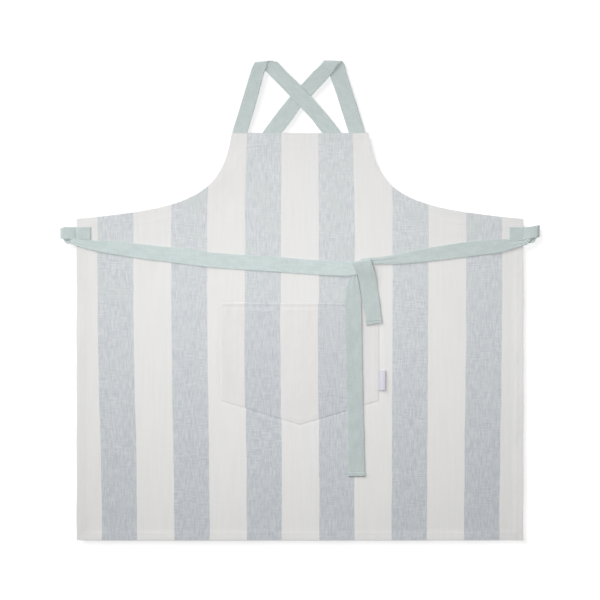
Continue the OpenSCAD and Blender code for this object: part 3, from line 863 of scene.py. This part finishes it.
# Waist ties as (x, y, extra height, width), from inside the loop to under the knot
LEFT_TIE = [
    (-446, 127, 0, 10), (-445.5, 120, 0.3, 10), (-441, 114.5, 0.9, 11), (-430, 110.8, 1.0, 13),
    (-415, 108, 0.9, 17), (-395, 105, 0.6, 21), (-362, 101, 0.2, 25), (-328, 97, 0, 27.5),
    (-292, 92.3, 0.3, 29), (-255, 88, 0, 29), (-218, 83.5, 0.2, 29.5), (-182, 79, 0.5, 29),
    (-146, 75.7, 0.1, 29.5), (-110, 73, 0, 29.5), (-75, 71, 0.3, 29), (-40, 69, 0.4, 29.5),
    (-5, 66, 0, 29), (30, 63.5, 0.2, 29), (65, 61.5, 0.6, 28.5), (90, 60.5, 1.1, 28),
    (104, 61, 1.5, 26), (118, 64, 1.5, 22), (126, 66, 1.4, 20),
]
RIGHT_TIE = [
    (446, 127, 0, 10), (445.5, 120, 0.3, 10), (441, 114.5, 0.9, 11), (430, 111.5, 1.0, 13),
    (412, 108.5, 0.9, 20), (395, 106, 0.6, 25), (360, 102.5, 0.3, 28.5), (322, 98, 0, 29.5),
    (285, 93, 0.3, 28.5), (250, 88, 0.2, 26.5), (215, 83, 0.4, 23), (180, 78.5, 0.6, 18),
    (160, 77, 1.0, 14.4), (143, 76, 1.3, 13.4), (130, 74.6, 1.5, 13.4), (120, 73, 1.5, 13),
]


def build_tie(name, points, node, seed, material):
    """A waist tie from its side loop to the knot, gathered where it is narrower than the strap."""
    sections = flat_sections([(x, y, 0, w) for x, y, _, w in points])
    rows = [(q[0], q[1], q[3], q[4], extra) for q, (_, _, extra, _) in zip(sections, points)]
    pleat = [max(0.0, (STRAP_W - 4 - w) / STRAP_W * 0.6) for _, _, _, w in points]
    grid, places, length = band_grid(on_ground(rows, 0.12), pleat, 2.0, seed, 0.22)
    piece = strap_piece(name, grid, places, material)
    settle(piece, "apron", "sage_strap", node)


# Tails as edge rows (viewer's left x, y, right x, y, extra height), from the knot down
LONG_TAIL = [
    (105, 64, 117, 62, 0.1), (102, 55, 114, 54, 0.1), (98.5, 46, 112, 46, 0.4),
    (93.5, 35, 114, 37, 0.9), (89.8, 20, 116.5, 22, 1.3), (88.3, 2, 119, 4, 1.4),
    (88, -16, 120, -17, 1.2), (88.2, -40, 120.3, -40, 0.8), (89, -70, 121, -70, 0.4),
    (89.5, -100, 121.5, -100, 0.1), (90, -140, 122.3, -140, 0.2), (91, -180, 123.2, -180, 0),
    (92, -220, 124, -220, 0.1), (93, -255, 125, -255, 0.3), (93.5, -290, 125.8, -290, 0),
    (94, -320, 126.5, -320, 0.1), (94.5, -344, 127.3, -344, 0.3),
]
KNOT_BACK = [(108, 50, 132, 50, 0.2), (105, 62, 134, 64, 0.2), (103, 71.5, 137, 77, 0.5)]
KNOT_TOP = 6.6
KNOT_FRONT = [
    (102.5, 72.5, 138.5, 78.5, KNOT_TOP), (104, 66, 140.5, 71, KNOT_TOP + 0.5),
    (107.5, 58, 144, 60, KNOT_TOP + 0.2), (111.5, 50, 146.8, 50, KNOT_TOP - 0.9),
    (114.5, 41, 149, 41, KNOT_TOP - 2.2),
]
SHORT_TAIL = [
    (116.8, 30, 150.2, 30, 0.9), (119.2, 16, 152.2, 16, 0.4), (121.8, 2, 154.3, 2, 0.2),
    (125, -18, 156.8, -17, 0.5), (127.2, -34, 158.8, -32, 0.6), (129, -50, 160.5, -45, 0.9),
]


def build_long_tail():
    pleat = [0.5, 0.5, 0.4, 0.26, 0.14, 0.06, 0.02] + [0.0] * (len(LONG_TAIL) - 7)
    sections = on_ground([(bx, by, ax, ay, e) for ax, ay, bx, by, e in LONG_TAIL], 0.12)
    grid, places, length = band_grid(sections, pleat, 1.6, 71, 0.25, 9.0)
    piece = strap_piece("long_tail", grid, places, SAGE_PAINTED_SHADE)
    nodes = ["long_tie_tail", "long_tail_end_hem"]
    return hinged_strap(piece, nodes)


def build_knot():
    """The half knot's wrap: up behind the ties, over their top and down as the short tail."""
    back = on_ground(KNOT_BACK, 0.1)
    front = edges(KNOT_FRONT)
    before = (*back[-1][:2], *back[-1][3:5], back[-1][2])
    turn = fold_over(before, KNOT_FRONT[0], 8)
    tail = on_ground(SHORT_TAIL, 0.3)
    rows = back + turn + front + tail
    pleat = [0.25] * (len(back) + len(turn)) + [0.22, 0.2, 0.2, 0.16, 0.12] + [0.06, 0.02, 0, 0, 0, 0]
    grid, places, length = band_grid(rows, pleat, 1.4, 77, 0.2, 8.0)
    piece = strap_piece("knot_and_short_tail", grid, places, SAGE_PAINTED_SHADE)
    nodes = ["waist_knot", "short_tie_tail", "short_tail_end_hem"]
    return hinged_strap(piece, nodes)


# ---- side loops and label ----


def build_loop(name, side, tilt, crease, rounding, node):
    """A cloth loop sewn to the panel's front and back, standing out past its side.

    tilt in degrees lifts its outer end, crease deepens its front at the panel's edge, and
    rounding draws in its outer corners.
    """
    tab = 28.0  # sewn down on the panel
    thick = 0.9
    front = ground_at(side * (HALF_W - tab / 2), LOOP_Y) + thick / 2 + 0.05
    outside = LOOP_X - HALF_W
    path = [
        (HALF_W - tab, front), (HALF_W - tab / 2, front), (HALF_W - 4, front + 0.05),
        (HALF_W + 1, front - crease), (HALF_W + 5, front + 0.4), (HALF_W + 12, front + 1.1),
        (HALF_W + 22, front + 1.4),
        (LOOP_X - 3.2, front + 0.8), (LOOP_X - 0.7, front - 0.7), (LOOP_X - 1.5, 1.5),
        (LOOP_X - 6, 0.65), (HALF_W + 14, 0.6), (HALF_W, 0.6), (HALF_W - tab, 0.65),
    ]
    s = spline(path, 1.3)
    run = lengths(s)
    v = spaced(LOOP_H, 2.0, thick / 2)
    x = np.broadcast_to(s[:, 0:1], (len(s), len(v)))
    z = np.broadcast_to(s[:, 1:2], (len(s), len(v)))
    out = np.clip((x - HALF_W) / outside, 0, 1)
    arch = np.sin(math.pi * out)
    behind = ease((run[:, None] - tab - outside - 4) / 8)
    across = v[None, :] / LOOP_H
    # The back layer hangs below the front one, and the front's lower edge draws up
    sag = 7.2 * behind * np.sin(math.pi * np.clip(out * 1.08, 0, 1)) ** 0.6 * across**0.5
    draw = 1.6 * (1 - behind) * arch * across
    y = LOOP_Y + LOOP_H / 2 - v[None, :] - sag + draw
    y = y + rounding * ease((out - 0.72) / 0.28) * (across - 0.5) * 2
    z = z + (1 - behind) * arch * (0.9 * across - 0.3)
    z = z + 3.2 * behind * arch**0.7 * across**5
    y = y + (x - HALF_W) * np.tan(out * math.radians(tilt))
    grid = np.stack([side * x, y, z], -1)
    places = flat_places(v[None, :] - LOOP_H / 2 + 0 * x, run[:, None] + 0 * x)
    if side < 0:
        grid, places = grid[:, ::-1], places[:, ::-1]
    piece = sheet_mesh(name, grid, thick, places, SAGE)
    settle(piece, "apron", "sage_strap", node)
    return piece


def build_label():
    """A blank ribbon folded in half, both ends caught in the pocket's seam."""
    x0, x1 = label_low[0] - 3, label_high[0] - 0.4
    tall = label_high[1] - label_low[1]
    base = ground_at(x1, label_low[1])
    thick = 0.35
    path = [
        (x0, base + 1.35), (x0 + 3.5, base + 1.35), (x1 - 4, base + 2.5), (x1 - 0.8, base + 2.3),
        (x1, base + 1.7), (x1 - 0.8, base + 1.15), (x1 - 4, base + 1.1), (x0 + 3.5, base + 0.75),
        (x0, base + 0.75),
    ]
    s = spline(path, 0.7)
    v = spaced(tall, 2.5, thick / 2)
    x = np.broadcast_to(s[:, 0:1], (len(s), len(v)))
    y = label_high[1] - v[None, :] + np.zeros_like(x)
    z = s[:, 1:2] + 0.35 * np.sin(v[None, :] / LABEL_H * math.pi) * ease((x - x0 - 3) / 8)
    grid = np.stack([x, y, z], -1)
    piece = sheet_mesh("blank_label", grid, thick, flat_places(x, y), LABEL)
    settle(piece, "label", "white_label", "pocket_label")


# ---- stitching ----

STITCH = 2.5  # length of one stitch
PITCH = 3.3  # from one stitch to the next
THREAD = 0.36
RINGS = 5
SIDES = 6


def stitch_rows(name, rows, height, material, body, slot_name, *nodes):
    """Separate stitches along rows of points (x, y); height(x, y) is the cloth under them."""
    along = np.linspace(-1, 1, RINGS)
    angles = np.arange(SIDES) * math.tau / SIDES
    tube = [
        (k + j, k + (j + 1) % SIDES, k + SIDES + (j + 1) % SIDES, k + SIDES + j)
        for k in range(0, (RINGS - 1) * SIDES, SIDES) for j in range(SIDES)
    ]
    first_end = tuple(range(SIDES))[::-1]
    last_end = tuple(range((RINGS - 1) * SIDES, RINGS * SIDES))
    vertices, faces, places = [], [], []
    for row in rows:
        run = lengths(row)
        at = np.arange(PITCH * 0.6, run[-1] - STITCH / 2, PITCH)
        x = np.interp(at, run, row[:, 0])
        y = np.interp(at, run, row[:, 1])
        dx = np.interp(at + 0.5, run, row[:, 0]) - np.interp(at - 0.5, run, row[:, 0])
        dy = np.interp(at + 0.5, run, row[:, 1]) - np.interp(at - 0.5, run, row[:, 1])
        size = np.hypot(dx, dy)
        dx, dy = dx / size, dy / size
        z = height(x, y)
        for cx, cy, cz, ux, uy in zip(x, y, z, dx, dy):
            start = len(vertices)
            for f in along:
                thick = THREAD / 2 * math.sqrt(max(0.12, 1 - f * f))
                middle = cz + 0.05 - 0.2 * f * f  # its ends go down into the cloth
                px, py = cx + ux * f * STITCH / 2, cy + uy * f * STITCH / 2
                for a in angles:
                    side = math.cos(a) * thick
                    up = math.sin(a) * thick * 0.8
                    vertices.append((px - uy * side, py + ux * side, middle + up))
                    places.append((side, f * STITCH / 2, 0))
            faces += [tuple(start + i for i in face) for face in (*tube, first_end, last_end)]
    piece = new_mesh(name, vertices, faces, places, material)
    return settle(piece, body, slot_name, *nodes)


def surface_of(*pieces):
    """A function that gives the height of the uppermost of these pieces at (x, y)."""
    trees = [
        BVHTree.FromPolygons([v.co for v in p.data.vertices], [f.vertices for f in p.data.polygons])
        for p in pieces
    ]
    start = 0.05  # metres, above everything

    def height(xs, ys):
        out = []
        for x, y in zip(xs, ys):
            above = Vector((x * MM, y * MM, start))
            hits = [tree.ray_cast(above, Vector((0, 0, -1)))[0] for tree in trees]
            out.append(max(hit.z for hit in hits if hit) / MM)
        return np.array(out)

    return height


def box_row(low, high):
    """A closed stitched box between two corners."""
    (x0, y0), (x1, y1) = low, high
    corners = [(x0, y0), (x1, y0), (x1, y1), (x0, y1), (x0, y0)]
    return np.vstack([straight(a, b, 2) for a, b in zip(corners, corners[1:])])


def build_stitching(panel, pocket, loops, long_tail, short_tail):
    on_panel, on_pocket = surface_of(panel), surface_of(pocket)

    def pale(name, rows, height, node):
        stitch_rows(name, rows, height, PALE_THREAD, "apron", "pale_thread", node)

    def sage(name, rows, pieces, body, node):
        stitch_rows(name, rows, surface_of(*pieces), SAGE_THREAD, body, "sage_thread", node)

    bib_row = BIB_Y - BIB_HEM + SEAM_IN
    end = HALF_BIB + 2.5
    pale("bib_stitches", [straight((-end, bib_row), (end, bib_row), 3)], on_panel, "bib_stitching")
    edge = inward(bezier(ARMHOLE, np.linspace(0.075, 0.93, 120)), FACING_W - SEAM_IN)
    pale("armhole_stitches", [edge, mirror(edge)], on_panel, "armhole_stitching")
    w = HALF_W - HEM_W + SEAM_IN
    low = HEM_Y + HEM_W - SEAM_IN
    hems = [straight((w, low), (w, 96)), straight((-w, low), (-w, 97)), straight((-w, low), (w, low))]
    pale("hem_stitches", hems, on_panel, "hem_stitching")
    mouth = MOUTH_Y - MOUTH_HEM + 2
    far = POCKET_HALF - 2
    rows = [pocket_path(2.5), pocket_path(7.5), straight((-far, mouth), (far, mouth), 3)]
    pale("pocket_stitches", rows, on_pocket, "pocket_stitching")
    inner, outer = HALF_W - 25, HALF_W - 3.5
    tall = LOOP_H / 2 - 2.5
    boxes = [
        box_row((side * inner, LOOP_Y - tall), (side * outer, LOOP_Y + tall)) for side in (-1, 1)
    ]
    sage("loop_stitches", boxes, loops, "apron", "loop_stitching")
    long_row = straight((96, -334.5), (125.6, -334.5), 3)
    sage("long_tail_stitches", [long_row], [long_tail], "long_tail", "long_tail_stitching")
    short_row = straight((129.2, -42.2), (158.8, -37.6), 3)
    sage("short_tail_stitches", [short_row], [short_tail], "short_tail", "short_tail_stitching")


apron_body = build_panel()
build_hems()
front_pocket = build_pocket()
build_pocket_edge()
build_shoulder_strap("left", LEFT_LEG, LEFT_CROSS, 1, 61)
build_shoulder_strap("right", RIGHT_LEG, RIGHT_CROSS, -1, 62)
loops = (
    build_loop("left_loop", -1, 0, 0.7, 2.6, "left_side_loop"),
    build_loop("right_loop", 1, 9, 0, 0.8, "right_side_loop"),
)
build_tie("left_tie", LEFT_TIE, "left_waist_tie", 65, SAGE_PAINTED_LIGHT)
build_tie("right_tie", RIGHT_TIE, "right_waist_tie", 66, SAGE)
tails = build_long_tail(), build_knot()
build_label()
build_stitching(apron_body, front_pocket, loops, *tails)

# ---- stage, light and camera ----


LAMP_PLACE = (-0.12, 0.06, 1.0)


def build_stage():
    """A pale paper floor."""
    mesh = bpy.data.meshes.new("floor")
    size = 20.0
    corners = [(-size, -size, 0), (size, -size, 0), (size, size, 0), (-size, size, 0)]
    mesh.from_pydata(corners, [], [(0, 1, 2, 3)])
    floor = bpy.data.objects.new("floor", mesh)
    floor.location.z = -0.003  # a little lower than the cloth, for the photo's soft shadow
    bpy.context.scene.collection.objects.link(floor)
    n = Nodes("floor_white")
    # A faint glow that grows away from the lamp keeps the paper white out to its edges
    away = n.add("VectorMath", operation="DISTANCE")
    n.join(n.add("NewGeometry").outputs["Position"], away.inputs[0])
    away.inputs[1].default_value = (*LAMP_PLACE[:2], 0)
    square = n.maths("MULTIPLY", away.outputs["Value"], away.outputs["Value"])
    fall = n.maths("DIVIDE", square, n.maths("ADD", square, 1.0))
    n.shader.inputs["Emission Color"].default_value = grey(1.0)
    n.join(n.maths("MULTIPLY_ADD", fall, 0.62, 0.21), n.shader.inputs["Emission Strength"])
    n.finish(grey(0.8), roughness=0.9, sheen=0.0)
    mesh.materials.append(n.material)


def lamp(kind, name, place, target, power, size):
    """An area of light of size (across, deep), or a sun whose size is its angle, aimed at target."""
    light = bpy.data.lights.new(name, kind)
    light.energy = power
    if kind == "SUN":
        light.angle = math.radians(size)
    else:
        light.shape = "RECTANGLE"
        light.size, light.size_y = size
    holder = bpy.data.objects.new(name, light)
    holder.location = place
    holder.rotation_euler = (Vector(target) - Vector(place)).to_track_quat("-Z", "Y").to_euler()
    holder.visible_camera = False
    bpy.context.scene.collection.objects.link(holder)


def build_camera():
    across = 1.170  # what the picture spans at the floor
    camera = bpy.data.cameras.new("camera")
    camera.lens = 85
    camera.sensor_width = 36
    holder = bpy.data.objects.new("camera", camera)
    holder.location = (0, 0, across * camera.lens / camera.sensor_width)
    bpy.context.scene.collection.objects.link(holder)
    bpy.context.scene.camera = holder


def build_world():
    world = bpy.data.worlds.new("studio")
    world.use_nodes = True
    background = world.node_tree.nodes["Background"]
    background.inputs["Color"].default_value = grey(1.0)
    background.inputs["Strength"].default_value = 0.28
    bpy.context.scene.world = world
    bpy.context.scene.view_settings.view_transform = "Standard"
    bpy.context.scene.view_settings.look = "None"


build_stage()
build_world()
lamp("SUN", "key", (-1.0, 1.0, 0.5), (0, 0, 0), power=2.4, size=28)
lamp("AREA", "overhead", LAMP_PLACE, (*LAMP_PLACE[:2], 0), power=7.0, size=(1.3, 0.3))
build_camera()
